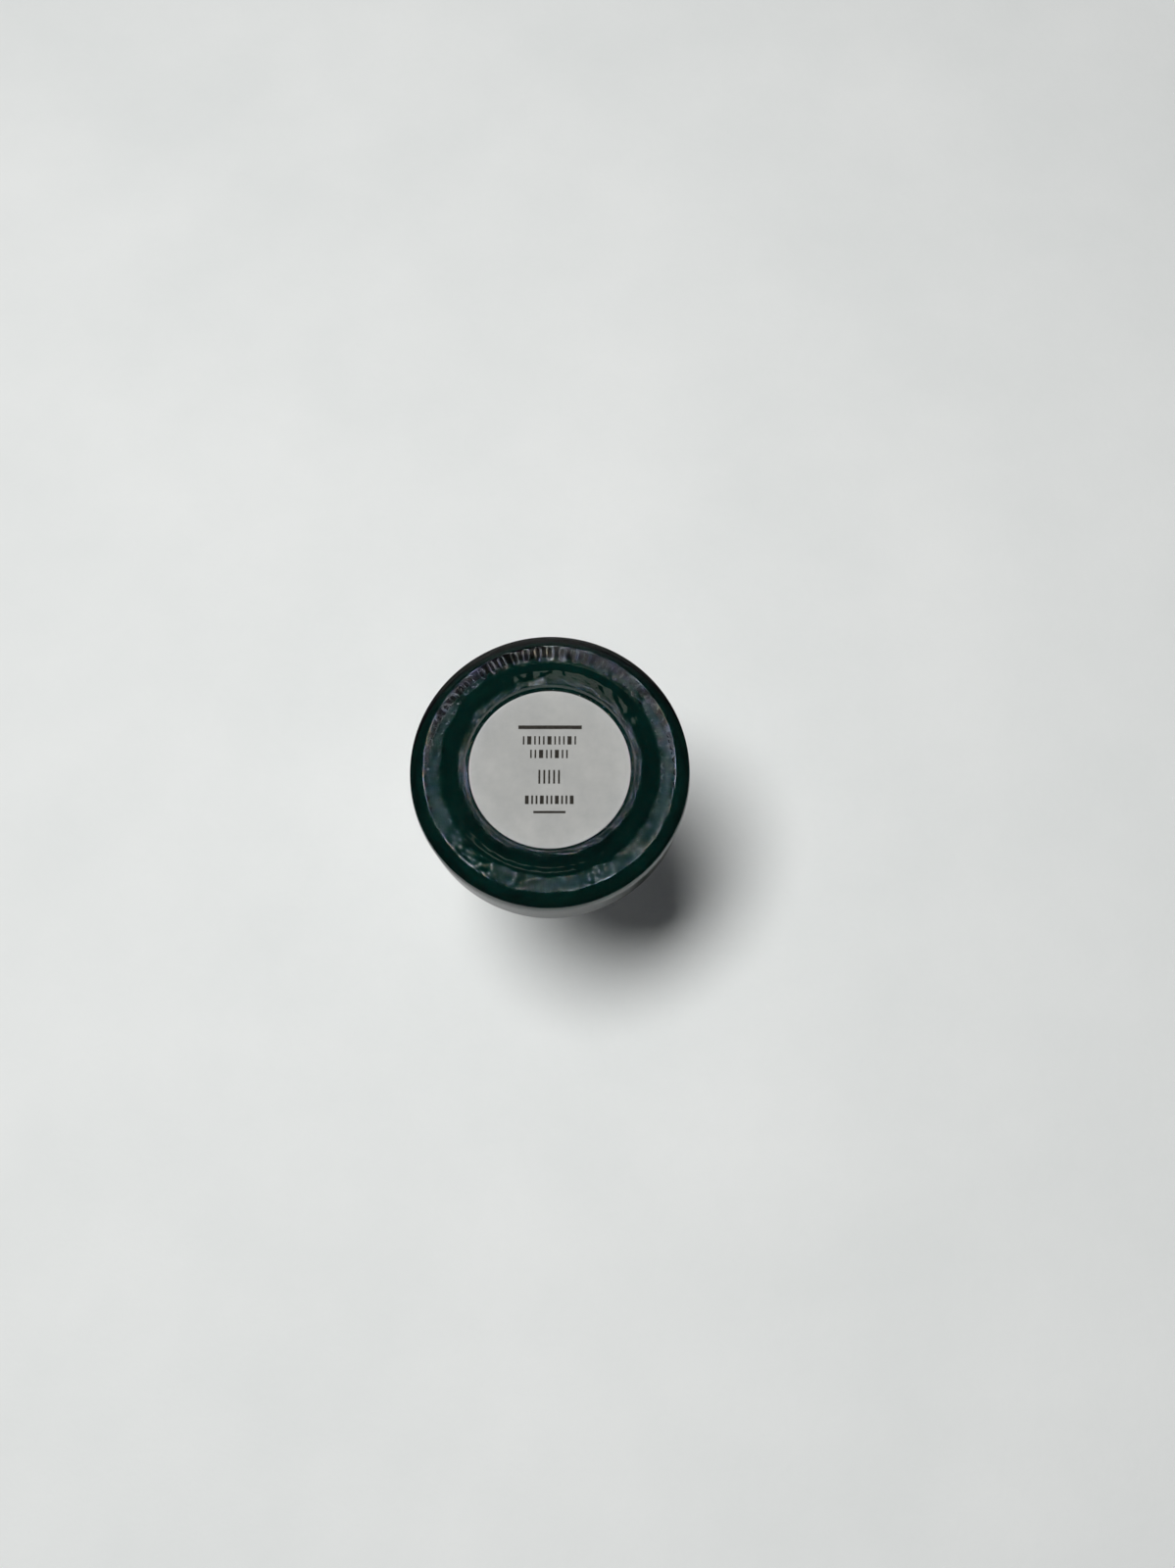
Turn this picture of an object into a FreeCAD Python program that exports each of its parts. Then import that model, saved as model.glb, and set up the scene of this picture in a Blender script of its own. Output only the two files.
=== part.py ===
"""Round nail polish bottle with a brush cap, standing on its base.

Millimetres, +Z up along the bottle's axis, origin at the centre of the resting plane.
Every sub-part is built about the Z axis from an (r, z) outline, and is written to
parts/NAME.step as a solid of its own.
"""

import FreeCAD, Part

import math
import os

# Driving dimensions

BODY_R = 15.0  # outside of the straight wall
HEEL_IN_R = 13.35  # conical heel between the base and the wall
HEEL_OUT_R = 14.7
HEEL_TOP_Z = 1.05
TAPER_TOP_Z = 2.3  # the wall widens slightly up to here
HEEL_EDGE_R = 0.5
WALL_TOP_Z = 8.4  # where the straight wall turns into the shoulder
SHOULDER_R = 12.0  # radius of the shoulder's arc
GLASS = 1.7  # wall thickness
FLOOR_Z = 4.0  # inside floor, above a thick base
FLOOR_CORNER_R = 1.6

KNURLS = 60  # raised ovals that the bottle stands on
KNURL_H = 0.12
KNURL_INNER_R = 11.6
KNURL_OUTER_R = 13.3
KNURL_FOOT_W = 0.9
KNURL_FLAT_W = 0.4
KNURL_ROOT = 0.04  # how far a knurl runs into the glass

BEARING_R = 11.5  # inner edge of the bearing ring
BAND_Z = 0.2  # smooth band between the bearing ring and the label's well
BAND_INNER_R = 9.1
BAND_OUTER_R = 11.2
WELL_R = 8.8  # well that holds the base label
WELL_Z = 1.3
LABEL_R = 8.6
LABEL_T = 0.1

NECK_R = 5.5
NECK_BORE_R = 3.9
NECK_TOP_Z = 31.3
NECK_FOOT_R = 0.8  # fillet between the shoulder and the neck
BORE_FOOT_R = 1.5  # the same on the inside
LIP_R = 0.45
BEAD_Z = 22.6
BEAD_R = 6.1
BEAD_H = 1.0

PITCH = 2.12  # twelve threads per inch
THREAD_ROOT_W = 1.3
THREAD_CREST_W = 0.6
THREAD_BURY = 0.2  # how far a thread runs into its wall
NECK_THREAD_R = 6.1
NECK_THREAD_Z = 25.2
NECK_THREAD_TURNS = 1.75
CAP_THREAD_R = 6.25
CAP_THREAD_Z = 24.14
CAP_THREAD_TURNS = 1.75
CAP_BORE_R = 6.85

LIQUID_Z = 17.0  # filling level
LIQUID_GAP = 0.04
BRUSH_HOLE_R = 2.65  # room in the polish for the brush to turn and lift
BALL_R = 1.5
BALL_PLACE_R = 8.3
BALL_ANGLES = (35.0, 62.0)

LINER_T = 1.0
LINER_R = 6.2
LINER_HOLE_R = 2.65
FACE_GAP = 0.06  # between parts that meet on a flat face

FLANGE_R = 5.2
FLANGE_T = 1.0
STEM_TOP_R = 2.4
STEM_R = 1.95
STEM_STEP_Z = 24.0
STEM_CONE = 3.0
STEM_END_Z = 15.2
SOCKET_R = 1.42
SOCKET_DEPTH = 6.2

TUFT_R = 1.38
TUFT_TIP_Z = 4.9
TUFT_SLOT_R = 0.8  # gap between the two legs of the folded tuft
STAPLE_LEN = 1.3
STAPLE_W = 0.5
STAPLE_H = 0.9
SCREW_RISE = 3.3  # travel left for the staple in the folded tuft

INNER_CAP_Z = 21.2
INNER_CAP_R = 7.75
INNER_CAP_TOP_T = 1.3
SPLINES = 24
SPLINE_DEPTH = 0.18
SPLINE_W = 0.8

CAP_Z = 20.0
CAP_TOP_Z = 50.0
CAP_FOOT_R = 9.1
CAP_TOP_R = 8.7
CAP_EDGE_R = 0.9
CAP_RIM_R = 0.3
CAP_SHELL_T = 1.15
CAP_END_T = 1.3
CAP_RIBS = 6
CAP_RIB_T = 0.8
CAP_RIB_REACH = 3.2

ORIGIN = FreeCAD.Vector(0, 0, 0)
UP = FreeCAD.Vector(0, 0, 1)

# Heights that follow from the ones above

LINER_Z = NECK_TOP_Z + FACE_GAP
FLANGE_Z = LINER_Z + LINER_T + FACE_GAP
INNER_CAP_CEILING_Z = FLANGE_Z + FLANGE_T + FACE_GAP
INNER_CAP_TOP_Z = INNER_CAP_CEILING_Z + INNER_CAP_TOP_T
STAPLE_Z = STEM_END_Z + SOCKET_DEPTH - STAPLE_H - 0.3


# Outlines in the r-z plane

def point(r, z):
    return FreeCAD.Vector(r, 0, z)


def line(start, end):
    return Part.LineSegment(point(*start), point(*end)).toShape()


def polyline(points):
    return [line(a, b) for a, b in zip(points, points[1:])]


def arc(start, end, centre, radius, middle_deg):
    """Arc from start to end about centre, through the angle middle_deg."""
    turn = math.radians(middle_deg)
    middle = (centre[0] + radius * math.cos(turn), centre[1] + radius * math.sin(turn))
    return Part.Arc(point(*start), point(*middle), point(*end)).toShape()


def revolve(edges):
    """Solid of revolution of a closed outline."""
    face = Part.Face(Part.Wire(Part.__sortEdges__(edges)))
    return face.revolve(ORIGIN, UP, 360)


def revolve_points(points):
    return revolve(polyline(points + [points[0]]))


def cylinder(radius, bottom, top):
    return Part.makeCylinder(radius, top - bottom, point(0, bottom), UP)


def rounded_corner(corner, radius, before, after, quarter_deg):
    """Quarter round that replaces a square corner; before and after point along its sides."""
    start = (corner[0] + radius * before[0], corner[1] + radius * before[1])
    end = (corner[0] + radius * after[0], corner[1] + radius * after[1])
    centre = (start[0] + radius * after[0], start[1] + radius * after[1])
    return start, arc(start, end, centre, radius, quarter_deg), end


def helical_thread(root_r, crest_r, start_z, turns):
    """Trapezoid ridge along a right-hand helix; it points from root_r towards crest_r."""
    outward = 1 if crest_r > root_r else -1
    buried_r = root_r - outward * THREAD_BURY
    section = [
        (buried_r, start_z - THREAD_ROOT_W / 2),
        (crest_r, start_z - THREAD_CREST_W / 2),
        (crest_r, start_z + THREAD_CREST_W / 2),
        (buried_r, start_z + THREAD_ROOT_W / 2),
    ]
    wire = Part.Wire(polyline(section + [section[0]]))
    helix = Part.makeHelix(PITCH, PITCH * turns, root_r)
    helix.translate(FreeCAD.Vector(0, 0, start_z))
    return Part.Wire(helix.Edges).makePipeShell([wire], True, True)


def blend(corner, before, after, radius):
    """Arc that rounds a corner between two straight edges, with its two ends."""
    into = unit(corner, before)
    out = unit(corner, after)
    half = math.acos(into[0] * out[0] + into[1] * out[1]) / 2
    back = radius / math.tan(half)
    start = (corner[0] + into[0] * back, corner[1] + into[1] * back)
    end = (corner[0] + out[0] * back, corner[1] + out[1] * back)
    middle = unit((0, 0), (into[0] + out[0], into[1] + out[1]))
    reach = radius / math.sin(half) - radius
    top = (corner[0] + middle[0] * reach, corner[1] + middle[1] * reach)
    return start, Part.Arc(point(*start), point(*top), point(*end)).toShape(), end


def unit(start, end):
    length = math.hypot(end[0] - start[0], end[1] - start[1])
    return ((end[0] - start[0]) / length, (end[1] - start[1]) / length)


# The glass bottle

def shoulder_and_foot(neck_r, fillet, inset):
    """Shoulder arc from the wall to the neck's fillet, and the fillet up to the neck."""
    centre_r = BODY_R - SHOULDER_R
    radius = SHOULDER_R - inset
    fillet_r = neck_r + fillet
    reach = radius + fillet
    fillet_z = WALL_TOP_Z + math.sqrt(reach**2 - (fillet_r - centre_r) ** 2)
    meet = radius / reach
    joint = (
        centre_r + (fillet_r - centre_r) * meet,
        WALL_TOP_Z + (fillet_z - WALL_TOP_Z) * meet,
    )
    angle = math.degrees(math.atan2(fillet_z - WALL_TOP_Z, fillet_r - centre_r))
    wall = (BODY_R - inset, WALL_TOP_Z)
    foot = (neck_r, fillet_z)
    shoulder = arc(wall, joint, (centre_r, WALL_TOP_Z), radius, angle / 2)
    fillet_arc = arc(joint, foot, (fillet_r, fillet_z), fillet, 180 + angle / 2)
    return wall, [shoulder, fillet_arc], foot


def cavity_edges(inset, top_z):
    """Outline of the inside, from the floor's centre up to top_z in the neck, then to the axis."""
    wall_r = BODY_R - GLASS - inset
    floor_z = FLOOR_Z + inset
    corner_r = FLOOR_CORNER_R
    start, corner, end = rounded_corner(
        (wall_r, floor_z), corner_r, (-1, 0), (0, 1), -45
    )
    wall, shoulder, foot = shoulder_and_foot(
        NECK_BORE_R - inset, BORE_FOOT_R + inset, GLASS + inset
    )
    edges = [line((0, floor_z), start), corner, line(end, wall)]
    edges += shoulder
    edges += polyline([foot, (NECK_BORE_R - inset, top_z), (0, top_z), (0, floor_z)])
    return edges


def knurl():
    """One raised oval, flat where it touches the table, pointing along +X."""
    sections = []
    for width, z in ((KNURL_FLAT_W, 0.0), (KNURL_FOOT_W, KNURL_H + KNURL_ROOT)):
        half = width / 2
        shrink = (KNURL_FOOT_W - width) / 2
        inner = KNURL_INNER_R + half + shrink
        outer = KNURL_OUTER_R - half - shrink
        sections.append(
            Part.Wire(
                [
                    Part.LineSegment(
                        FreeCAD.Vector(inner, -half, z), FreeCAD.Vector(outer, -half, z)
                    ).toShape(),
                    Part.Arc(
                        FreeCAD.Vector(outer, -half, z),
                        FreeCAD.Vector(outer + half, 0, z),
                        FreeCAD.Vector(outer, half, z),
                    ).toShape(),
                    Part.LineSegment(
                        FreeCAD.Vector(outer, half, z), FreeCAD.Vector(inner, half, z)
                    ).toShape(),
                    Part.Arc(
                        FreeCAD.Vector(inner, half, z),
                        FreeCAD.Vector(inner - half, 0, z),
                        FreeCAD.Vector(inner, -half, z),
                    ).toShape(),
                ]
            )
        )
    return Part.makeLoft(sections, True)


def around_axis(shape, count):
    """Copies of a shape at equal angles about Z."""
    copies = []
    for index in range(count):
        copy = shape.copy()
        copy.rotate(ORIGIN, UP, 360.0 * index / count)
        copies.append(copy)
    return copies


def glass_bottle():
    land = (HEEL_IN_R, KNURL_H)
    rim = (HEEL_OUT_R, HEEL_TOP_Z)
    widest = (BODY_R, TAPER_TOP_Z)
    edge_start, edge, edge_end = blend(land, (BEARING_R, KNURL_H), rim, HEEL_EDGE_R)
    rim_start, rim_arc, rim_end = blend(rim, land, widest, HEEL_EDGE_R)
    base = polyline(
        [
            (0, WELL_Z),
            (WELL_R, WELL_Z),
            (BAND_INNER_R, BAND_Z),
            (BAND_OUTER_R, BAND_Z),
            (BEARING_R, KNURL_H),
            edge_start,
        ]
    )
    heel = [edge, line(edge_end, rim_start), rim_arc, line(rim_end, widest)]
    wall, shoulder, foot = shoulder_and_foot(NECK_R, NECK_FOOT_R, 0.0)
    lip_start, lip, lip_end = rounded_corner(
        (NECK_R, NECK_TOP_Z), LIP_R, (0, -1), (-1, 0), 45
    )
    edges = base + heel + [line(widest, wall)]
    edges += shoulder + [line(foot, lip_start), lip]
    edges += polyline([lip_end, (0, NECK_TOP_Z), (0, WELL_Z)])
    outside = revolve(edges)
    bead = revolve_points(
        [
            (NECK_R - THREAD_BURY, BEAD_Z - BEAD_H / 2),
            (NECK_R, BEAD_Z - BEAD_H / 2),
            (BEAD_R, BEAD_Z - BEAD_H / 5),
            (BEAD_R, BEAD_Z + BEAD_H / 5),
            (NECK_R, BEAD_Z + BEAD_H / 2),
            (NECK_R - THREAD_BURY, BEAD_Z + BEAD_H / 2),
        ]
    )
    thread = helical_thread(NECK_R, NECK_THREAD_R, NECK_THREAD_Z, NECK_THREAD_TURNS)
    outside = outside.fuse([bead, thread] + around_axis(knurl(), KNURLS))
    return outside.cut(revolve(cavity_edges(0.0, NECK_TOP_Z + 1)))


def base_label():
    return cylinder(LABEL_R, WELL_Z - LABEL_T, WELL_Z)


# The contents

def ball_centres():
    for angle in BALL_ANGLES:
        turn = math.radians(angle)
        yield FreeCAD.Vector(
            BALL_PLACE_R * math.cos(turn),
            BALL_PLACE_R * math.sin(turn),
            FLOOR_Z + LIQUID_GAP + BALL_R,
        )


def mixing_balls():
    return Part.makeCompound([Part.makeSphere(BALL_R, at) for at in ball_centres()])


def polish():
    """The liquid up to its level, with room for the balls and for the brush."""
    filling = revolve(cavity_edges(LIQUID_GAP, NECK_TOP_Z))
    filling = filling.common(cylinder(BODY_R, 0, LIQUID_Z))
    room = [Part.makeSphere(BALL_R + LIQUID_GAP, at) for at in ball_centres()]
    room.append(cylinder(BRUSH_HOLE_R, TUFT_TIP_Z - 0.4, LIQUID_Z + 1))
    return filling.cut(room)


# The brush

def sealing_liner():
    washer = cylinder(LINER_R, LINER_Z, LINER_Z + LINER_T)
    return washer.cut(cylinder(LINER_HOLE_R, LINER_Z - 1, LINER_Z + LINER_T + 1))


def brush_stem():
    top = FLANGE_Z + FLANGE_T
    outside = revolve_points(
        [
            (0, STEM_END_Z),
            (STEM_R, STEM_END_Z),
            (STEM_R, STEM_STEP_Z),
            (STEM_TOP_R, STEM_STEP_Z + STEM_CONE),
            (STEM_TOP_R, FLANGE_Z),
            (FLANGE_R, FLANGE_Z),
            (FLANGE_R, top),
            (0, top),
        ]
    )
    return outside.cut(cylinder(SOCKET_R, STEM_END_Z - 1, STEM_END_Z + SOCKET_DEPTH))


def oval(half_x, half_y, z):
    ellipse = Part.Ellipse(point(0, z), half_x, half_y)
    return Part.Wire(ellipse.toShape())


def bristles():
    """Tuft that starts round in the stem's socket and spreads to a flat, rounded blade."""
    root_z = STEM_END_Z
    blade = Part.makeLoft(
        [
            oval(TUFT_R, TUFT_R - 0.01, root_z),
            oval(1.75, 1.1, TUFT_TIP_Z + 6.5),
            oval(2.1, 0.9, TUFT_TIP_Z + 2.8),
            oval(1.95, 0.7, TUFT_TIP_Z + 1.0),
            oval(1.2, 0.45, TUFT_TIP_Z),
        ],
        True,
    )
    root = cylinder(TUFT_R, root_z - 0.3, STEM_END_Z + SOCKET_DEPTH - FACE_GAP)
    slot_bottom = STAPLE_Z - SCREW_RISE - 0.3
    slot = cylinder(TUFT_SLOT_R, slot_bottom, STAPLE_Z + STAPLE_H + FACE_GAP)
    return blade.fuse(root).cut(slot).removeSplitter()


def bristle_staple():
    """Flat metal strip, bent over at both ends, that the tuft is folded round."""
    bridge = Part.makeBox(
        STAPLE_LEN,
        STAPLE_W,
        STAPLE_H,
        FreeCAD.Vector(-STAPLE_LEN / 2, -STAPLE_W / 2, STAPLE_Z),
    )
    bay = Part.makeBox(
        STAPLE_LEN / 2,
        2 * STAPLE_W,
        STAPLE_H / 2,
        FreeCAD.Vector(-STAPLE_LEN / 4, -STAPLE_W, STAPLE_Z),
    )
    return bridge.cut(bay)


# The cap

def inner_cap():
    """Threaded closure with the seats of the liner and of the stem's flange."""
    outside = cylinder(INNER_CAP_R, INNER_CAP_Z, INNER_CAP_TOP_Z)
    bore = cylinder(CAP_BORE_R, INNER_CAP_Z - 1, NECK_TOP_Z)
    liner_seat = cylinder(LINER_R + 0.1, NECK_TOP_Z - 1, FLANGE_Z)
    flange_seat = cylinder(FLANGE_R + 0.05, FLANGE_Z - 1, INNER_CAP_CEILING_Z)
    shell = outside.cut([bore, liner_seat, flange_seat])
    thread = helical_thread(CAP_BORE_R, CAP_THREAD_R, CAP_THREAD_Z, CAP_THREAD_TURNS)
    spline = Part.makeBox(
        SPLINE_DEPTH + 0.2,
        SPLINE_W,
        INNER_CAP_TOP_Z - INNER_CAP_Z - 2,
        FreeCAD.Vector(INNER_CAP_R - 0.2, -SPLINE_W / 2, INNER_CAP_Z + 1),
    )
    return shell.fuse([thread] + around_axis(spline, SPLINES))


def outer_cap():
    """Smooth over-cap, a little narrower at its top, with ribs that bear on the inner cap."""
    slope = (CAP_FOOT_R - CAP_TOP_R) / (CAP_TOP_Z - CAP_Z)

    def side_r(z):
        return CAP_FOOT_R - slope * (z - CAP_Z)

    edge_z = CAP_TOP_Z - CAP_EDGE_R
    edge_r = side_r(edge_z)
    inside_r = side_r(CAP_TOP_Z) - CAP_SHELL_T + 0.4
    ceiling_z = CAP_TOP_Z - CAP_END_T
    edge = arc(
        (edge_r, edge_z),
        (edge_r - CAP_EDGE_R, CAP_TOP_Z),
        (edge_r - CAP_EDGE_R, edge_z),
        CAP_EDGE_R,
        45,
    )
    rim_z = CAP_Z + CAP_RIM_R
    rim = arc(
        (side_r(rim_z) - CAP_RIM_R, CAP_Z),
        (side_r(rim_z), rim_z),
        (side_r(rim_z) - CAP_RIM_R, rim_z),
        CAP_RIM_R,
        -45,
    )
    edges = [line((inside_r, CAP_Z), (side_r(rim_z) - CAP_RIM_R, CAP_Z)), rim]
    edges += [line((side_r(rim_z), rim_z), (edge_r, edge_z)), edge]
    edges += polyline(
        [
            (edge_r - CAP_EDGE_R, CAP_TOP_Z),
            (0, CAP_TOP_Z),
            (0, ceiling_z),
            (inside_r, ceiling_z),
            (inside_r, CAP_Z),
        ]
    )
    rib_z = INNER_CAP_TOP_Z + FACE_GAP
    rib = Part.makeBox(
        CAP_RIB_REACH,
        CAP_RIB_T,
        ceiling_z + 0.2 - rib_z,
        FreeCAD.Vector(inside_r - CAP_RIB_REACH + 0.2, -CAP_RIB_T / 2, rib_z),
    )
    return revolve(edges).fuse(around_axis(rib, CAP_RIBS))


SUB_PARTS = (
    glass_bottle,
    base_label,
    polish,
    mixing_balls,
    sealing_liner,
    brush_stem,
    bristles,
    bristle_staple,
    inner_cap,
    outer_cap,
)


def main():
    os.makedirs("parts", exist_ok=True)
    for make in SUB_PARTS:
        shape = make()
        shape.exportStep(f"parts/{make.__name__}.step")
        print(
            f"{make.__name__}: valid {shape.isValid()}, solids {len(shape.Solids)},"
            f" {shape.Volume / 1000:.4f} ml"
        )


main()
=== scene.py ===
"""Looks of the round nail polish bottle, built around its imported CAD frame.

Metres, +Z up along the bottle's axis, origin at the centre of the resting plane.
Outlines are written in millimetres, as (radius, height) about the axis.
"""

import math

import bmesh
import bpy
import numpy as np
from mathutils import Matrix, Vector

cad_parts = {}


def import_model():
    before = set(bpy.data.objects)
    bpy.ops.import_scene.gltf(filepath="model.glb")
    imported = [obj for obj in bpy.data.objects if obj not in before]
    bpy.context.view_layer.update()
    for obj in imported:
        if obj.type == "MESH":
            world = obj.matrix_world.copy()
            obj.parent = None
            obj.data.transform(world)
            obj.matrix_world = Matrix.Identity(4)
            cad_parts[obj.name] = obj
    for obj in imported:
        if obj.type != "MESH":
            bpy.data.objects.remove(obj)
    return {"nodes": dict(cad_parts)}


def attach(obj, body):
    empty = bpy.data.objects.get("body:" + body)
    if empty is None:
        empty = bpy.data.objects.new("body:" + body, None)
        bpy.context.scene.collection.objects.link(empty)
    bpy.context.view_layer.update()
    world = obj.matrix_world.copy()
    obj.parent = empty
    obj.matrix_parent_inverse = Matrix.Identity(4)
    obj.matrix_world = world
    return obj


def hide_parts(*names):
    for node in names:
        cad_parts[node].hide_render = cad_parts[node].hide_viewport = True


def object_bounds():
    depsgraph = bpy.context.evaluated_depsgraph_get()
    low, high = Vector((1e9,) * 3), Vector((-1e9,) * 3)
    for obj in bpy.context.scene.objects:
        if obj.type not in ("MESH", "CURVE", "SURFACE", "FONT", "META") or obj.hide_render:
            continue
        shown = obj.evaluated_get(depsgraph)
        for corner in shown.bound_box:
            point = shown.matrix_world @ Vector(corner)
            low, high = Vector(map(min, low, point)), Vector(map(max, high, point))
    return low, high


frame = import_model()
cad_low, cad_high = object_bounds()

MM = 0.001
TURN = 2 * math.pi
rng = np.random.default_rng(6)

# Sizes of the glass in millimetres, as in the CAD model but for a sharper heel

BODY_R = 15.0
HEEL_IN_R = 13.35
HEEL_OUT_R = 14.85
HEEL_TOP_Z = 1.3
TAPER_TOP_Z = 2.3
HEEL_EDGE_R = 0.25
WALL_TOP_Z = 8.4
SHOULDER_R = 12.0
GLASS = 1.7
FLOOR_Z = 4.0
FLOOR_CORNER_R = 1.6
KNURLS = 60
KNURL_H = 0.12
KNURL_INNER_R = 11.6
KNURL_OUTER_R = 13.3
BEARING_R = 11.5
BAND_Z = 0.2
BAND_INNER_R = 9.1
WELL_R = 8.8
WELL_Z = 1.3
NECK_R = 5.5
NECK_BORE_R = 3.9
NECK_TOP_Z = 31.3
NECK_FOOT_R = 0.8
BORE_FOOT_R = 1.5
LIP_R = 0.45
BEAD_Z = 22.6
BEAD_H = 1.0
BEAD_OUT = 0.6
PITCH = 2.12
THREAD_Z = 25.2
THREAD_TURNS = 1.75
THREAD_OUT = 0.6
THREAD_FOOT_W = 1.3
THREAD_CREST_W = 0.6
LIQUID_Z = 17.0

LABEL_R = 8.6
LABEL_T = 0.1
LABEL_FACE_Z = WELL_Z - LABEL_T

FINE = 1440  # points round the foot, 24 to a knurl
COARSE = 180  # points round everything else


# Mesh helpers

def smoothstep(low, high, value):
    t = np.clip((value - low) / (high - low), 0, 1)
    return t * t * (3 - 2 * t)


def mesh_object(name, points_mm, faces, smooth=True):
    """Object from points in millimetres; its normals are made to point outwards."""
    mesh = bpy.data.meshes.new(name)
    mesh.from_pydata([tuple(p) for p in np.asarray(points_mm) * MM], [], faces)
    work = bmesh.new()
    work.from_mesh(mesh)
    bmesh.ops.recalc_face_normals(work, faces=work.faces)
    if work.calc_volume(signed=True) < 0:
        bmesh.ops.reverse_faces(work, faces=work.faces[:])
    work.to_mesh(mesh)
    work.free()
    mesh.polygons.foreach_set("use_smooth", [smooth] * len(mesh.polygons))
    mesh.update()
    made = bpy.data.objects.new(name, mesh)
    bpy.context.collection.objects.link(made)
    return made


def angles(count):
    return np.arange(count) * (TURN / count)


def ring(radius, z, count=COARSE):
    """Points round the axis; radius and z are numbers or one value for each angle."""
    a = angles(count)
    r = np.broadcast_to(radius, count)
    return np.stack([r * np.cos(a), r * np.sin(a), np.broadcast_to(z, count)], axis=1)


def lathe(name, rings):
    """Closed or open skin through rings of points, each from ring() or one axis point."""
    counts = [len(r) for r in rings]
    starts = np.concatenate([[0], np.cumsum(counts)])
    faces = []
    for i in range(len(rings) - 1):
        a, b, na, nb = starts[i], starts[i + 1], counts[i], counts[i + 1]
        if na < nb:
            a, b, na, nb = b, a, nb, na
        if nb == 1:
            faces += [(a + k, a + (k + 1) % na, b) for k in range(na)]
            continue
        step = na // nb
        for j in range(nb):
            near = [a + (j * step + k) % na for k in range(step + 1)]
            faces.append(tuple(near + [b + (j + 1) % nb, b + j]))
    faces = [tuple(int(v) for v in f) for f in faces]
    return mesh_object(name, np.concatenate(rings), faces)


def axis_point(z):
    return np.array([[0.0, 0.0, z]])


def arc_points(centre, radius, start_deg, end_deg, count):
    """(r, z) points along an arc, both ends included."""
    turn = np.radians(np.linspace(start_deg, end_deg, count))
    return [(centre[0] + radius * math.cos(t), centre[1] + radius * math.sin(t)) for t in turn]


# The glass

def grain(x, y, shortest, longest, count):
    """Smooth random unevenness of about unit height, made of waves of these lengths."""
    total = np.zeros_like(x)
    lengths = rng.uniform(shortest, longest, count)
    headings, shifts = rng.uniform(0, TURN, (2, count))
    for length, heading, shift in zip(lengths, headings, shifts):
        along = x * math.cos(heading) + y * math.sin(heading)
        total += np.sin(TURN * along / length + shift)
    return total * math.sqrt(2 / count)


def blend(corner, before, after, radius, count):
    """(r, z) points along the arc that rounds a corner between two straight edges."""
    c, b, f = (np.array(p) for p in (corner, before, after))
    into, out = (b - c) / np.linalg.norm(b - c), (f - c) / np.linalg.norm(f - c)
    half = math.acos(float(into @ out)) / 2
    middle = (into + out) / np.linalg.norm(into + out)
    centre = c + middle * radius / math.sin(half)
    start, end = c + into * radius / math.tan(half), c + out * radius / math.tan(half)
    turn = (math.pi - 2 * half) / (count - 1)
    points = []
    for i in range(count):
        a, rest = math.sin(turn * (count - 1 - i)), math.sin(turn * i)
        whole = math.sin(turn * (count - 1))
        points.append(tuple(centre + ((start - centre) * a + (end - centre) * rest) / whole))
    return points


def base_z(r):
    """Height of the base between its centre and the heel, without knurls."""
    z = WELL_Z - (WELL_Z - BAND_Z) * smoothstep(WELL_R, BAND_INNER_R, r)
    return z - (BAND_Z - KNURL_H) * smoothstep(BEARING_R - 0.9, BEARING_R, r)


def knurl_height(r, angle):
    """Share of the knurls' full height at each point of the foot."""
    pitch = TURN / KNURLS
    index = np.round(angle / pitch).astype(int) % KNURLS
    offset = (angle / pitch - np.round(angle / pitch)) * pitch
    across = offset * (KNURL_INNER_R + KNURL_OUTER_R) / 2 + KNURL_SHIFT[index]
    half = 0.44 * KNURL_SIZE[index]
    flat = 0.2 * KNURL_SIZE[index]
    along = np.clip(r, KNURL_INNER_R + half + KNURL_IN[index], KNURL_OUTER_R - half)
    distance = np.hypot(r - along, across)
    return 1 - smoothstep(flat, half, distance)


KNURL_SHIFT = rng.normal(0, 0.025, KNURLS)
KNURL_SIZE = rng.uniform(0.9, 1.04, KNURLS)
KNURL_IN = rng.uniform(0.0, 0.15, KNURLS)


def ripple(x, y, r):
    """Slight unevenness that moulding leaves on the smooth band."""
    waves = 0.003 * np.sin(3.4 * x + 1.1 * y) + 0.002 * np.sin(5.1 * x - 2.2 * y + 1.3)
    waves = waves + 0.0018 * np.sin(1.7 * x + 4.3 * y + 0.4)
    return waves * smoothstep(9.8, 10.1, r) * (1 - smoothstep(11.0, 11.3, r))


def foot_radii():
    radii = list(np.arange(8.65, 9.85, 0.04))
    radii += list(np.arange(9.9, 11.2, 0.1))
    radii += list(np.arange(11.2, 13.2, 0.045))
    return radii


def foot_heights(radii):
    """Height of the foot at these radii and at all FINE angles."""
    r, a = np.meshgrid(radii, angles(FINE), indexing="ij")
    x, y = r * np.cos(a), r * np.sin(a)
    z = base_z(r) - ripple(x, y, r)
    knurls = knurl_height(r, a)
    on_knurls = smoothstep(11.4, 11.7, r) * (1 - smoothstep(12.9, 13.15, r))
    z = z - z * knurls + 0.004 * grain(x, y, 0.4, 0.9, 40) * on_knurls
    on_rim = smoothstep(9.0, 9.15, r) * (1 - smoothstep(9.5, 9.75, r))
    z = z - 0.05 * np.maximum(grain(x, y, 0.25, 0.55, 60) - 0.7, 0) * on_rim
    return np.maximum(z, 0.004)


def base_rings():
    """Foot of the bottle from the axis to the heel."""
    radii = foot_radii()
    rings = [axis_point(WELL_Z), ring(4.0, WELL_Z), ring(7.6, WELL_Z), ring(8.5, WELL_Z, FINE)]
    return rings + [ring(r, z, FINE) for r, z in zip(radii, foot_heights(radii))]


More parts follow.
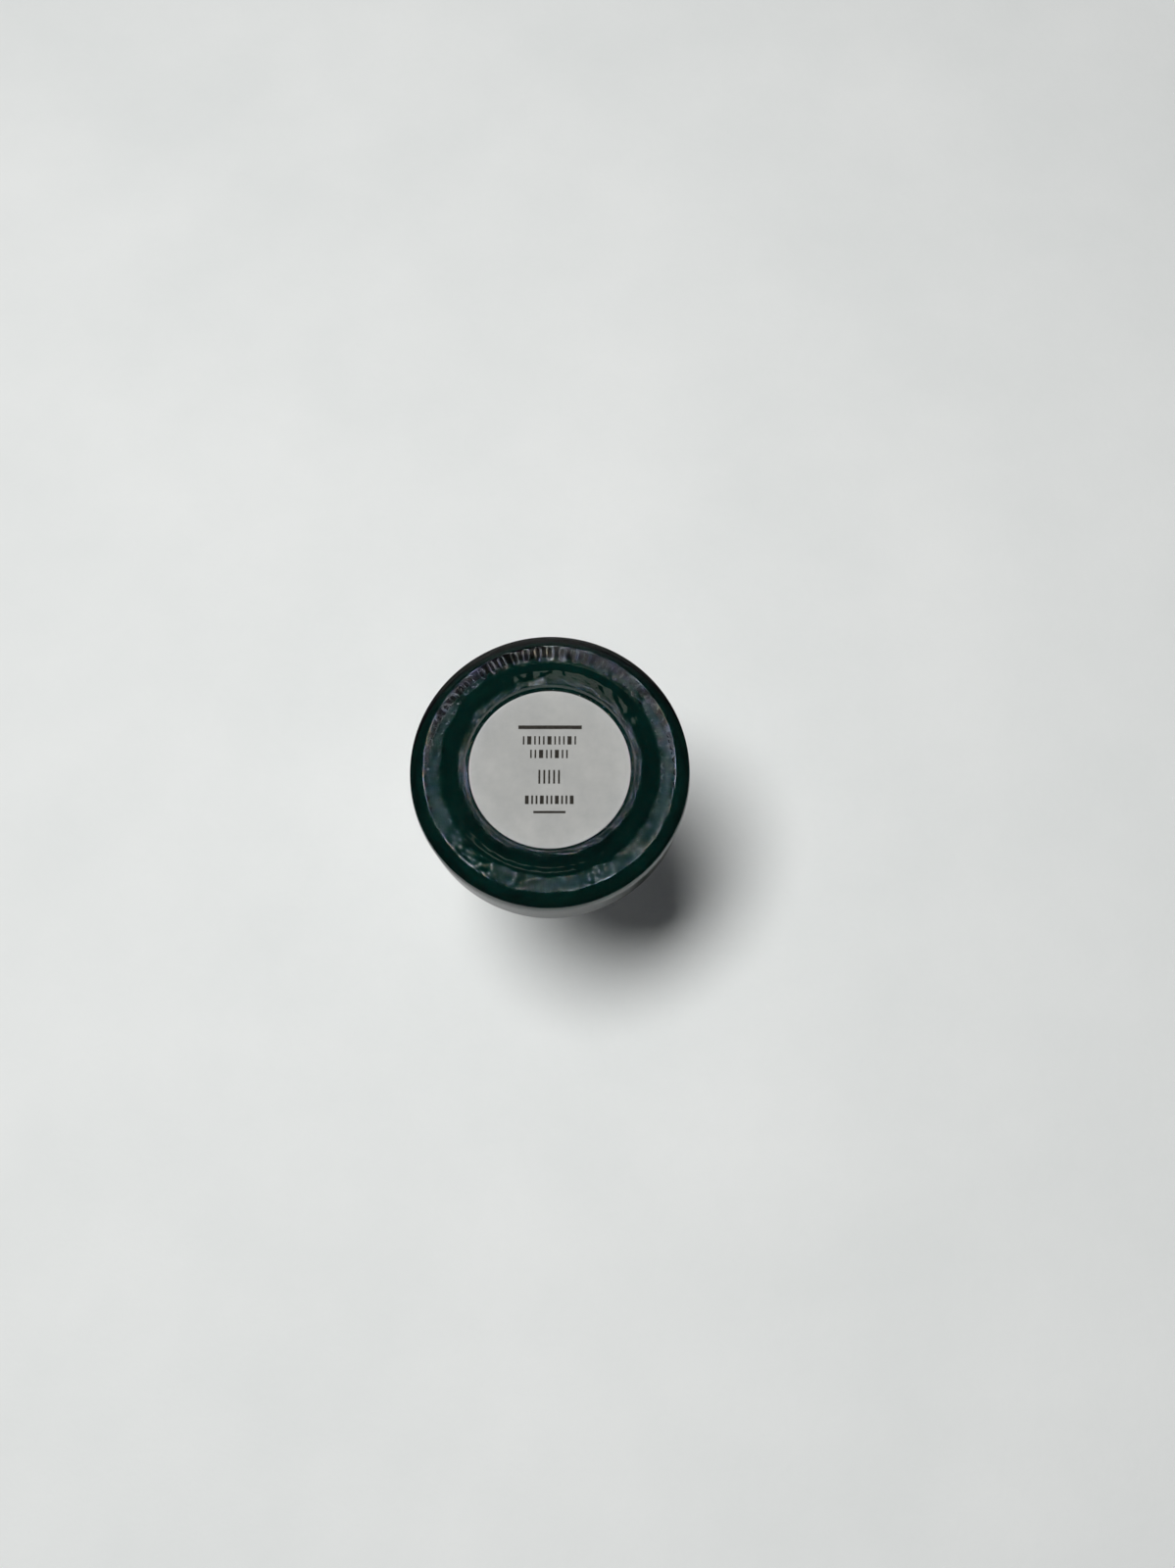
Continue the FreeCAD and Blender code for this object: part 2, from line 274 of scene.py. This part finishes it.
def neck_radius(z, a):
    """Outside radius of the neck, with its bead and its right-hand thread."""
    bead = 1 - smoothstep(BEAD_H * 0.12, BEAD_H * 0.5, abs(z - BEAD_Z))
    ridge = np.zeros_like(a)
    for turn in range(int(THREAD_TURNS) + 1):
        along = a / TURN + turn
        away = np.abs(z - THREAD_Z - PITCH * along)
        side = 1 - smoothstep(THREAD_CREST_W / 2 - 0.08, THREAD_FOOT_W / 2, away)
        ends = smoothstep(0.0, 0.1, along) * (1 - smoothstep(THREAD_TURNS - 0.1, THREAD_TURNS, along))
        ridge = np.maximum(ridge, side * ends)
    return NECK_R + BEAD_OUT * bead + THREAD_OUT * ridge


def shoulder_foot(neck_r, fillet, inset):
    """Centre of the fillet between shoulder and neck, and the angle where it starts."""
    centre_r = BODY_R - SHOULDER_R
    fillet_r = neck_r + fillet
    reach = SHOULDER_R - inset + fillet
    fillet_z = WALL_TOP_Z + math.sqrt(reach**2 - (fillet_r - centre_r) ** 2)
    angle = math.degrees(math.atan2(fillet_z - WALL_TOP_Z, fillet_r - centre_r))
    return (fillet_r, fillet_z), angle


def cavity_outline(inset, corner_steps=7, shoulder_steps=26):
    """(r, z) points of the inside, from the floor to the foot of the bore."""
    wall_r = BODY_R - GLASS - inset
    floor_z = FLOOR_Z + inset
    centre = (wall_r - FLOOR_CORNER_R, floor_z + FLOOR_CORNER_R)
    points = [(4.0, floor_z), (8.0, floor_z)]
    points += arc_points(centre, FLOOR_CORNER_R, -90, 0, corner_steps)
    radius = SHOULDER_R - GLASS - inset
    fillet_centre, angle = shoulder_foot(NECK_BORE_R - inset, BORE_FOOT_R + inset, GLASS + inset)
    points += arc_points((BODY_R - SHOULDER_R, WALL_TOP_Z), radius, 0, angle, shoulder_steps)
    points += arc_points(fillet_centre, BORE_FOOT_R + inset, 180 + angle, 180, 8)[1:]
    return points


def glass_rings():
    rings = base_rings()
    slope = (HEEL_TOP_Z - KNURL_H) / (HEEL_OUT_R - HEEL_IN_R)
    land, rim, widest = (HEEL_IN_R, KNURL_H), (HEEL_OUT_R, HEEL_TOP_Z), (BODY_R, TAPER_TOP_Z)
    heel = blend(land, (BEARING_R, KNURL_H), rim, HEEL_EDGE_R, 8)
    heel += [(13.8, KNURL_H + 0.45 * slope), (14.2, KNURL_H + 0.85 * slope)]
    heel += blend(rim, land, widest, HEEL_EDGE_R, 9)
    rings += [ring(r, z, FINE) for r, z in heel]
    rings += [ring(r, z) for r, z in ((14.94, 1.9), widest, (BODY_R, 4.5), (BODY_R, 6.5))]
    fillet_centre, angle = shoulder_foot(NECK_R, NECK_FOOT_R, 0.0)
    shoulder = arc_points((BODY_R - SHOULDER_R, WALL_TOP_Z), SHOULDER_R, 0, angle, 36)
    rings += [ring(r, z) for r, z in shoulder]
    foot = arc_points(fillet_centre, NECK_FOOT_R, 180 + angle, 180, 6)[1:]
    rings += [ring(r, z) for r, z in foot]
    a = angles(COARSE)
    for z in np.arange(foot[-1][1] + 0.12, NECK_TOP_Z - LIP_R - 0.05, 0.12):
        rings.append(ring(neck_radius(z, a), z))
    lip_centre = (NECK_R - LIP_R, NECK_TOP_Z - LIP_R)
    rings += [ring(r, z) for r, z in arc_points(lip_centre, LIP_R, 0, 90, 6)]
    bore_lip = (NECK_BORE_R + 0.25, NECK_TOP_Z - 0.25)
    rings += [ring(r, z) for r, z in arc_points(bore_lip, 0.25, 90, 180, 4)]
    rings += [ring(NECK_BORE_R, z) for z in (28.0, 25.0, 22.5)]
    rings += [ring(r, z) for r, z in reversed(cavity_outline(0.0))]
    return rings + [axis_point(FLOOR_Z)]


def make_glass():
    glass = lathe("glass", glass_rings())
    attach(glass, "bottle")
    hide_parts("glass_bottle")
    glass.data.materials.append(glass_material())
    return glass


# The polish

CONTACT = 0.03  # how far the polish's skin lies inside the glass, so that no air shows between
FILM_T = 0.1


def wavy(a, waves):
    """Sum of a few sines round the axis; waves holds (count, height, shift)."""
    return sum(h * np.sin(n * a + s) for n, h, s in waves)


def polish_rings():
    """Liquid up to its level, and the film that clings to the shoulder above it."""
    centre = (BODY_R - SHOULDER_R, WALL_TOP_Z)
    radius = SHOULDER_R - GLASS + CONTACT
    level_deg = math.degrees(math.asin((LIQUID_Z - WALL_TOP_Z) / radius))
    a = angles(COARSE)
    film_deg = 67.5 + wavy(a, ((3, 1.6, 0.4), (7, 0.9, 1.9), (17, 0.5, 0.2), (29, 0.3, 2.2)))
    rings = [axis_point(FLOOR_Z - CONTACT)]
    for r, z in cavity_outline(-CONTACT):
        if z <= WALL_TOP_Z + CONTACT:
            rings.append(ring(r, z))
    for turn in np.radians(np.linspace(4, level_deg, 16)):
        rings.append(ring(centre[0] + radius * math.cos(turn), centre[1] + radius * math.sin(turn)))
    for share in (0.3, 0.6, 0.85, 1.0):
        turn = np.radians(level_deg + (film_deg - level_deg) * share)
        rings.append(ring(centre[0] + radius * np.cos(turn), centre[1] + radius * np.sin(turn)))
    inner = radius - FILM_T
    for share in (0.95, 0.7, 0.35):
        turn = np.radians(level_deg + (film_deg - level_deg) * share)
        rings.append(ring(centre[0] + inner * np.cos(turn), centre[1] + inner * np.sin(turn)))
    wall = centre[0] + inner * math.cos(math.radians(level_deg))
    for inward, rise in ((0.25, 0.35), (0.55, 0.14), (1.0, 0.03), (2.2, 0.0)):
        rings.append(ring(wall - inward, LIQUID_Z + rise))
    return rings + [ring(2.6, LIQUID_Z), axis_point(LIQUID_Z)]


def make_polish():
    polish = lathe("polish_liquid", polish_rings())
    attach(polish, "bottle")
    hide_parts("polish")
    polish.data.materials.append(polish_material())


# The base label and its print

def label_lift(x, y):
    """How far the stuck paper waves, in millimetres."""
    return 0.012 * np.sin(0.9 * x + 0.5) * np.cos(0.7 * y) + 0.006 * np.sin(2.3 * x - 1.7 * y)


def make_label():
    rings = [axis_point(WELL_Z)]
    rings += [ring(r, WELL_Z) for r in (4.0, LABEL_R - 0.02)]
    edge = [(LABEL_R, 0.25), (LABEL_R, 0.75), (LABEL_R - 0.03, 1.0)]
    rings += [ring(r, WELL_Z - LABEL_T * t) for r, t in edge]
    a = angles(COARSE)
    for r in list(np.arange(LABEL_R - 0.2, 0.3, -0.25)):
        lift = label_lift(r * np.cos(a), r * np.sin(a))
        rings.append(ring(r, LABEL_FACE_Z + lift * min(1.0, (LABEL_R - r) / 0.6)))
    rings.append(axis_point(LABEL_FACE_Z + float(label_lift(0.0, 0.0))))
    label = lathe("label", rings)
    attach(label, "bottle")
    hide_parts("base_label")
    label.data.materials.append(label_material())


INK_T = 0.012


BAR_STEP = 0.3


class Ink:
    """Collects flat printed strokes on the label's face as thin closed slabs."""

    def __init__(self):
        self.points = []
        self.faces = []

    def _slab(self, left, right):
        """Slab between two edges, given as lists of (x, y)."""
        start, n = len(self.points), len(left)
        for edge in (left, right):
            for x, y in edge:
                face_z = LABEL_FACE_Z + float(label_lift(x, y))
                self.points.append((x, y, face_z - INK_T))
                self.points.append((x, y, face_z + INK_T))
        for i in range(n - 1):
            l0, l1 = start + 2 * i, start + 2 * (i + 1)
            r0, r1 = l0 + 2 * n, l1 + 2 * n
            self.faces += [(l0, l1, r1, r0), (l0 + 1, r0 + 1, r1 + 1, l1 + 1)]
            self.faces += [(l0, l0 + 1, l1 + 1, l1), (r0, r1, r1 + 1, r0 + 1)]
        for i in (0, n - 1):
            l0 = start + 2 * i
            self.faces.append((l0, l0 + 1, l0 + 2 * n + 1, l0 + 2 * n))

    def bar(self, x0, y0, x1, y1):
        """Filled upright rectangle, cut into short steps that follow the label."""
        steps = max(2, int(abs(x1 - x0) / BAR_STEP) + 1)
        across = [x0 + (x1 - x0) * i / (steps - 1) for i in range(steps)]
        self._slab([(x, y0) for x in across], [(x, y1) for x in across])

    def dashes(self, x0, x1, y, height, widths, gap):
        """Row of short bars from x0, with these widths in turn, up to x1."""
        at, i = x0, 0
        while at + widths[i % len(widths)] <= x1 + 1e-6:
            width = widths[i % len(widths)]
            self.bar(at, y - height / 2, at + width, y + height / 2)
            at += width + gap
            i += 1


def make_print():
    """Generic print: a straight rule and centred rows of plain dashes."""
    ink = Ink()
    ink.bar(-3.4, -4.75, 3.4, -4.35)
    ink.dashes(-2.9, 2.9, -3.1, 0.92, (0.17, 0.44, 0.17, 0.17), 0.3)
    ink.dashes(-2.1, 2.1, -1.6, 0.92, (0.17, 0.17, 0.44), 0.3)
    ink.dashes(-1.2, 1.2, 0.9, 1.5, (0.2, 0.2), 0.32)
    ink.dashes(-2.6, 2.6, 3.4, 0.92, (0.4, 0.2, 0.2), 0.26)
    ink.bar(-1.7, 4.6, 1.7, 4.85)
    made = mesh_object("label_print", ink.points, ink.faces, smooth=False)
    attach(made, "bottle")
    made.data.materials.append(ink_material())


# The brush

# Height, half width and half depth of the tuft, from its root to its tip
TUFT_SHAPE = (
    (17.0, 1.3, 1.3), (15.2, 1.34, 1.34), (11.4, 1.7, 1.05),
    (7.7, 2.0, 0.85), (5.9, 1.95, 0.7), (4.9, 1.6, 0.5),
)
FIBRES = 420
FIBRE_R = 0.045


def make_bristles():
    """Nylon fibres that start round in the stem's socket and spread to a flat blade."""
    heights = np.array([s[0] for s in TUFT_SHAPE])
    wide = np.array([s[1] for s in TUFT_SHAPE])
    deep = np.array([s[2] for s in TUFT_SHAPE])
    order = np.argsort(heights)
    points, faces = [], []
    sides, steps = 5, 12
    golden = math.pi * (3 - math.sqrt(5))
    for i in range(FIBRES):
        reach = math.sqrt((i + 0.5) / FIBRES)
        u, v = reach * math.cos(i * golden), reach * math.sin(i * golden)
        end_z = TUFT_SHAPE[-1][0] + 1.9 * abs(u) ** 2.6 + rng.uniform(0, 0.25)
        bend = rng.normal(0, 0.05, 2)
        start = len(points)
        for k in range(steps + 1):
            share = k / steps
            z = TUFT_SHAPE[0][0] + (end_z - TUFT_SHAPE[0][0]) * share
            x = u * np.interp(z, heights[order], wide[order]) + bend[0] * share**2
            y = v * np.interp(z, heights[order], deep[order]) + bend[1] * share**2
            thin = FIBRE_R * (1 - 0.55 * share**6)
            for s in range(sides):
                t = TURN * s / sides
                points.append((x + thin * math.cos(t), y + thin * math.sin(t), z))
            if k:
                for s in range(sides):
                    a, b = start + (k - 1) * sides + s, start + (k - 1) * sides + (s + 1) % sides
                    faces.append((a, b, b + sides, a + sides))
        faces.append(tuple(start + s for s in range(sides)))
        faces.append(tuple(start + steps * sides + s for s in reversed(range(sides))))
    tuft = mesh_object("bristle_fibres", points, faces)
    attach(tuft, "cap_and_brush")
    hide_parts("bristles")
    tuft.data.materials.append(fibre_material())


# Materials

class Graph:
    """A material's nodes, with short calls for the ones used here."""

    def __init__(self, name):
        self.material = bpy.data.materials.new(name)
        self.material.use_nodes = True
        self.nodes = self.material.node_tree.nodes
        self.links = self.material.node_tree.links
        self.shader = self.nodes["Principled BSDF"]
        self.output = self.nodes["Material Output"]
        self.place = self.nodes.new("ShaderNodeTexCoord").outputs["Object"]

    def set(self, **values):
        for name, value in values.items():
            self.shader.inputs[name.replace("_", " ")].default_value = value

    def add(self, kind, **settings):
        node = self.nodes.new(kind)
        for name, value in settings.items():
            setattr(node, name, value)
        return node

    def noise(self, scale, detail=3.0, rough=0.5, stretch=(1, 1, 1)):
        """Noise with this many cells in a metre."""
        mapping = self.add("ShaderNodeMapping")
        mapping.inputs["Scale"].default_value = stretch
        self.links.new(self.place, mapping.inputs["Vector"])
        node = self.add("ShaderNodeTexNoise")
        node.inputs["Scale"].default_value = scale
        node.inputs["Detail"].default_value = detail
        node.inputs["Roughness"].default_value = rough
        self.links.new(mapping.outputs["Vector"], node.inputs["Vector"])
        return node.outputs["Fac"]

    def ramp(self, value, stops):
        """Colour ramp; stops holds (position, grey or colour)."""
        node = self.add("ShaderNodeValToRGB")
        elements = node.color_ramp.elements
        while len(elements) < len(stops):
            elements.new(0.5)
        for element, (position, colour) in zip(elements, stops):
            element.position = position
            element.color = (*colour, 1) if isinstance(colour, tuple) else (colour, colour, colour, 1)
        self.links.new(value, node.inputs["Fac"])
        return node.outputs["Color"]

    def bump(self, height, distance, strength=1.0):
        node = self.add("ShaderNodeBump")
        node.inputs["Strength"].default_value = strength
        node.inputs["Distance"].default_value = distance
        self.links.new(height, node.inputs["Height"])
        self.links.new(node.outputs["Normal"], self.shader.inputs["Normal"])

    def to(self, output, socket):
        self.links.new(output, self.shader.inputs[socket])


def glass_material():
    g = Graph("clear_glass")
    g.set(Base_Color=(0.93, 0.99, 0.97, 1), Transmission_Weight=1.0, IOR=1.52)
    g.to(g.ramp(g.noise(900, 4), ((0.4, 0.0), (0.9, 0.01))), "Roughness")
    g.bump(g.noise(140, 2), 0.00004, 0.35)
    return g.material


def polish_material():
    g = Graph("green_polish")
    g.set(Specular_IOR_Level=0.0, Roughness=0.5)
    dark, light = (0.0004, 0.0105, 0.0080), (0.0009, 0.0165, 0.0122)
    g.to(g.ramp(g.noise(260, 4), ((0.3, dark), (0.7, light))), "Base Color")
    return g.material


def label_material():
    g = Graph("label_paper")
    g.set(Metallic=0.15)
    mottle = g.ramp(g.noise(420, 6, 0.62), ((0.25, (0.40, 0.405, 0.40)), (0.75, (0.485, 0.487, 0.475))))
    g.to(mottle, "Base Color")
    g.to(g.ramp(g.noise(1500, 3), ((0.3, 0.42), (0.7, 0.56))), "Roughness")
    g.bump(g.noise(5200, 4, 0.6), 0.00002, 0.5)
    return g.material


def ink_material():
    g = Graph("label_ink")
    g.to(g.ramp(g.noise(2600, 3), ((0.3, (0.022, 0.02, 0.017)), (0.7, (0.04, 0.037, 0.032)))), "Base Color")
    g.to(g.ramp(g.noise(3400, 2), ((0.3, 0.38), (0.7, 0.55))), "Roughness")
    return g.material


def plastic_material(name, colour, shade, rough, grain=2200, depth=0.00001):
    """Moulded plastic with a faint change of colour and a fine satin grain."""
    g = Graph(name)
    darker = tuple(c * shade for c in colour)
    g.to(g.ramp(g.noise(160, 4), ((0.3, darker), (0.7, colour))), "Base Color")
    g.to(g.ramp(g.noise(grain, 3), ((0.3, rough * 0.85), (0.7, rough * 1.15))), "Roughness")
    g.bump(g.noise(grain, 3, 0.6), depth, 0.5)
    return g


def cap_material():
    g = plastic_material("cap_plastic", (0.76, 0.76, 0.74), 0.96, 0.26, grain=3000, depth=0.000006)
    g.set(Coat_Weight=0.3, Coat_Roughness=0.12, Metallic=0.0)
    return g.material


def fibre_material():
    g = Graph("bristle_nylon")
    tip, root = (0.001, 0.016, 0.011), (0.02, 0.02, 0.02)
    height = g.add("ShaderNodeSeparateXYZ")
    g.links.new(g.place, height.inputs["Vector"])
    share = g.add("ShaderNodeMapRange")
    share.inputs["From Min"].default_value = 0.010
    share.inputs["From Max"].default_value = 0.0155
    g.links.new(height.outputs["Z"], share.inputs["Value"])
    g.to(g.ramp(share.outputs["Result"], ((0.0, tip), (1.0, root))), "Base Color")
    g.to(g.ramp(g.noise(900, 3), ((0.3, 0.18), (0.7, 0.4))), "Roughness")
    return g.material


def metal_material(name, colour, rough):
    g = Graph(name)
    g.set(Metallic=1.0)
    darker = tuple(c * 0.85 for c in colour)
    g.to(g.ramp(g.noise(700, 4), ((0.3, darker), (0.7, colour))), "Base Color")
    g.to(g.ramp(g.noise(2600, 3), ((0.3, rough * 0.7), (0.7, rough * 1.3))), "Roughness")
    return g.material


def dress_cad_nodes():
    """Materials of the CAD nodes that show as they are."""
    pale = (0.78, 0.78, 0.76)
    looks = {
        "outer_cap": cap_material(),
        "inner_cap": plastic_material("inner_cap_plastic", pale, 0.93, 0.45).material,
        "sealing_liner": plastic_material(
            "liner_plastic", (0.72, 0.72, 0.69), 0.9, 0.6, 5200, 0.00003
        ).material,
        "brush_stem": plastic_material("stem_plastic", (0.022, 0.022, 0.023), 0.7, 0.33).material,
        "bristle_staple": metal_material("staple_brass", (0.72, 0.52, 0.26), 0.25),
        "mixing_balls": metal_material("ball_steel", (0.62, 0.62, 0.63), 0.1),
    }
    for node, look in looks.items():
        mesh = frame["nodes"][node].data
        for i in range(max(1, len(mesh.materials))):
            if len(mesh.materials) > i:
                mesh.materials[i] = look
            else:
                mesh.materials.append(look)


# Stage, light and camera

SHEET_HALF = 0.9
PAPER_GAP = 0.00015


def stage_plane(name, z, facing, material):
    """Large square that can be seen from one side only."""
    half = SHEET_HALF
    corners = [(-half, -half, z), (half, -half, z), (half, half, z), (-half, half, z)]
    if facing < 0:
        corners.reverse()
    mesh = bpy.data.meshes.new(name)
    mesh.from_pydata(corners, [], [(0, 1, 2, 3)])
    plane = bpy.data.objects.new(name, mesh)
    mesh.materials.append(material)
    bpy.context.collection.objects.link(plane)
    plane.visible_shadow = False
    return plane


REFLECTED_SHEET_SHADE = 0.5  # painted shade: how much darker a sheet is painted where the glass reflects it


def sheet_material(name, dark, light, grain, steep_only=False, ends=None):
    """Matt paper on its front, nothing on its back. Where glass reflects it, it is mixed towards black, a
    painted shade.

    With steep_only it fades out where it is seen edge on. ends gives the distances from the axis
    where it starts and stops fading out.
    """
    g = Graph(name)
    g.set(Roughness=0.9, Specular_IOR_Level=0.1)
    g.to(g.ramp(g.noise(30, 5, 0.6), ((0.3, dark), (0.7, light))), "Base Color")
    g.bump(g.noise(grain, 5, 0.62), 0.0002, 0.25)
    clear = g.add("ShaderNodeBsdfTransparent")
    path = g.add("ShaderNodeLightPath")
    # painted shade: reflections of the sheet are mixed towards this near-black
    black = g.add("ShaderNodeBsdfDiffuse")
    black.inputs["Color"].default_value = (0.02, 0.02, 0.02, 1)
    painted_reflection_shade = g.add("ShaderNodeMath", operation="MULTIPLY")
    painted_reflection_shade.inputs[1].default_value = REFLECTED_SHEET_SHADE
    g.links.new(path.outputs["Is Glossy Ray"], painted_reflection_shade.inputs[0])
    face = g.add("ShaderNodeMixShader")
    g.links.new(painted_reflection_shade.outputs["Value"], face.inputs["Fac"])
    g.links.new(g.shader.outputs["BSDF"], face.inputs[1])
    g.links.new(black.outputs["BSDF"], face.inputs[2])
    mix = g.add("ShaderNodeMixShader")
    hide = g.add("ShaderNodeNewGeometry").outputs["Backfacing"]
    if steep_only:
        edge = g.add("ShaderNodeLayerWeight")
        edge.inputs["Blend"].default_value = 0.5
        fade = g.add("ShaderNodeMapRange")
        fade.inputs["From Min"].default_value = 0.36
        fade.inputs["From Max"].default_value = 0.46
        g.links.new(edge.outputs["Facing"], fade.inputs["Value"])
        seen = g.add("ShaderNodeMath", operation="MULTIPLY")
        g.links.new(fade.outputs["Result"], seen.inputs[0])
        g.links.new(path.outputs["Is Camera Ray"], seen.inputs[1])
        both = g.add("ShaderNodeMath", operation="MAXIMUM")
        g.links.new(seen.outputs["Value"], both.inputs[0])
        g.links.new(hide, both.inputs[1])
        hide = both.outputs["Value"]
    if ends:
        away = g.add("ShaderNodeVectorMath", operation="LENGTH")
        g.links.new(g.add("ShaderNodeTexCoord").outputs["Object"], away.inputs[0])
        far = g.add("ShaderNodeMapRange", interpolation_type="SMOOTHSTEP")
        far.inputs["From Min"].default_value, far.inputs["From Max"].default_value = ends
        g.links.new(away.outputs["Value"], far.inputs["Value"])
        either = g.add("ShaderNodeMath", operation="MAXIMUM")
        g.links.new(far.outputs["Result"], either.inputs[0])
        g.links.new(hide, either.inputs[1])
        hide = either.outputs["Value"]
    g.links.new(hide, mix.inputs["Fac"])
    g.links.new(face.outputs["Shader"], mix.inputs[1])
    g.links.new(clear.outputs["BSDF"], mix.inputs[2])
    g.links.new(mix.outputs["Shader"], g.output.inputs["Surface"])
    return g.material


def make_stage():
    """Sheet behind the cap for the view of the base, and a floor under the base for the others."""
    paper = stage_plane(
        "paper", cad_high.z + PAPER_GAP, -1,
        sheet_material("paper", (0.78, 0.80, 0.80), (0.83, 0.845, 0.845), 700, steep_only=True),
    )
    floor = stage_plane(
        "floor", cad_low.z - PAPER_GAP, 1,
        sheet_material("floor", (0.60, 0.62, 0.625), (0.65, 0.665, 0.665), 700, ends=(0.07, 0.26)),
    )
    floor.visible_glossy = False
    floor.visible_diffuse = False
    return paper, floor


def area_light(
    name, lean, distance, size, radiance, colour, centre_z=0.0, along_deg=0, shape="ELLIPSE"
):
    """Flat light facing the bottle, below the base or, if distance is negative, above the cap.

    lean is its sideways offset for each unit of height and size its width and length by the same
    measure. along_deg turns its width about the vertical. radiance is the brightness of its face.
    """
    data = bpy.data.lights.new(name, "AREA")
    data.shape = shape
    data.size, data.size_y = (abs(s * distance) for s in size)
    area = data.size * data.size_y * (math.pi / 4 if shape == "ELLIPSE" else 1)
    data.energy = radiance * math.pi * area
    data.color = colour
    lamp = bpy.data.objects.new(name, data)
    bpy.context.collection.objects.link(lamp)
    place = Vector((lean[0] * abs(distance), lean[1] * abs(distance), centre_z - distance))
    back = (place - Vector((0, 0, centre_z))).normalized()
    along = Vector((math.cos(math.radians(along_deg)), math.sin(math.radians(along_deg)), 0))
    side = back.cross(along).normalized()
    turn = Matrix((side.cross(back), side, back)).transposed().to_4x4()
    lamp.matrix_world = Matrix.Translation(place) @ turn
    lamp.visible_camera = False
    return lamp


def accent(name, lean, distance, size, radiance, colour, seen_by, shape="ELLIPSE"):
    """Light that shows only as a reflection, and only in the objects of seen_by."""
    lamp = area_light(name, lean, distance, size, radiance, colour, shape=shape)
    lamp.visible_diffuse = False
    lamp.visible_transmission = False
    lamp.light_linking.receiver_collection = seen_by
    return lamp


SPARKS = 72
SPARK_COLOURS = (
    (0.6, 0.66, 1.0), (0.75, 0.84, 1.0), (0.95, 1.0, 1.0), (0.48, 0.56, 1.0), (1.0, 0.78, 0.42),
)
SPARK_RADIANCE = 30


def lights(glass):
    """A soft key below for the base, accents that sparkle in the glass, and soft light above."""
    key = area_light(
        "key", (-0.195, -0.06), 0.6, (0.46, 0.27), 33.5, (1.0, 1.0, 0.985), 0.03, along_deg=140
    )
    key.visible_glossy = False
    sparkling = bpy.data.collections.new("sparkling")
    sparkling.objects.link(glass)
    accent("top_patch", (0.0, -0.332), 0.8, (0.085, 0.07), 0.7, (0.97, 1.0, 0.86), sparkling, "RECTANGLE")
    accent("arc_right", (0.16, 0.1), 0.7, (0.08, 0.08), 40, (1.0, 0.98, 0.92), sparkling)
    accent("arc_left", (-0.24, 0.03), 0.7, (0.06, 0.06), 40, (1.0, 0.98, 0.92), sparkling)
    accent("blue_right", (0.45, -0.33), 0.5, (0.22, 0.22), 25, (0.5, 0.62, 1.0), sparkling)
    accent("gold_left", (-0.6, -0.22), 0.5, (0.1, 0.12), 25, (1.0, 0.7, 0.35), sparkling)
    for i in range(SPARKS):
        turn = TURN * (i + rng.uniform(-0.3, 0.3)) / SPARKS
        off_axis = math.radians(rng.uniform(33, 41))
        lean = math.tan(off_axis)
        place = (lean * math.cos(turn), lean * math.sin(turn))
        colour = SPARK_COLOURS[rng.integers(len(SPARK_COLOURS))]
        size = rng.uniform(0.05, 0.09) / math.cos(off_axis)
        reach = 0.5 * math.cos(off_axis)
        accent("spark.%02d" % i, place, reach, (size, size), SPARK_RADIANCE, colour, sparkling)
    area_light("above", (-0.7, -0.5), -0.6, (0.6, 0.6), 10, (1.0, 1.0, 1.0))
    area_light("above_right", (1.0, 0.4), -0.6, (0.4, 0.4), 5, (0.95, 0.97, 1.0))


def world():
    """Pale backdrop for the camera. Reflections see a studio that is dark below and bright above."""
    made = bpy.data.worlds.new("studio")
    bpy.context.scene.world = made
    made.use_nodes = True
    nodes, links = made.node_tree.nodes, made.node_tree.links
    nodes.clear()
    output = nodes.new("ShaderNodeOutputWorld")
    place = nodes.new("ShaderNodeTexCoord")
    split = nodes.new("ShaderNodeSeparateXYZ")
    links.new(place.outputs["Generated"], split.inputs["Vector"])
    height = nodes.new("ShaderNodeMapRange")
    height.inputs["From Min"].default_value = 0.0
    height.inputs["From Max"].default_value = 0.5
    height.inputs["To Min"].default_value = 0.03
    height.inputs["To Max"].default_value = 0.7
    links.new(split.outputs["Z"], height.inputs["Value"])
    studio = nodes.new("ShaderNodeBackground")
    studio.inputs["Color"].default_value = (0.9, 0.93, 1.0, 1)
    links.new(height.outputs["Result"], studio.inputs["Strength"])
    backdrop = nodes.new("ShaderNodeBackground")
    backdrop.inputs["Color"].default_value = (0.74, 0.77, 0.78, 1)
    mix = nodes.new("ShaderNodeMixShader")
    links.new(nodes.new("ShaderNodeLightPath").outputs["Is Camera Ray"], mix.inputs["Fac"])
    links.new(studio.outputs["Background"], mix.inputs[1])
    links.new(backdrop.outputs["Background"], mix.inputs[2])
    links.new(mix.outputs["Shader"], output.inputs["Surface"])


CAMERA_PLACE = Vector((3.4, 30.0, -120.1)) * MM
CAMERA_AIM = Vector((4.0, 1.96, 0.0)) * MM
CAMERA_UP = Vector((0, -1, 0))
LENS_MM = 27


def camera():
    """Looks at the base from below, a little off the axis."""
    data = bpy.data.cameras.new("camera")
    data.lens = LENS_MM
    data.clip_start = 0.005
    made = bpy.data.objects.new("camera", data)
    bpy.context.collection.objects.link(made)
    forward = (CAMERA_AIM - CAMERA_PLACE).normalized()
    right = forward.cross(CAMERA_UP).normalized()
    turn = Matrix((right, right.cross(forward), -forward)).transposed().to_4x4()
    made.matrix_world = Matrix.Translation(CAMERA_PLACE) @ turn
    bpy.context.scene.camera = made


camera()
world()
make_stage()
lights(make_glass())
make_polish()
make_label()
make_print()
make_bristles()
dress_cad_nodes()
bpy.context.scene.view_settings.view_transform = "Standard"
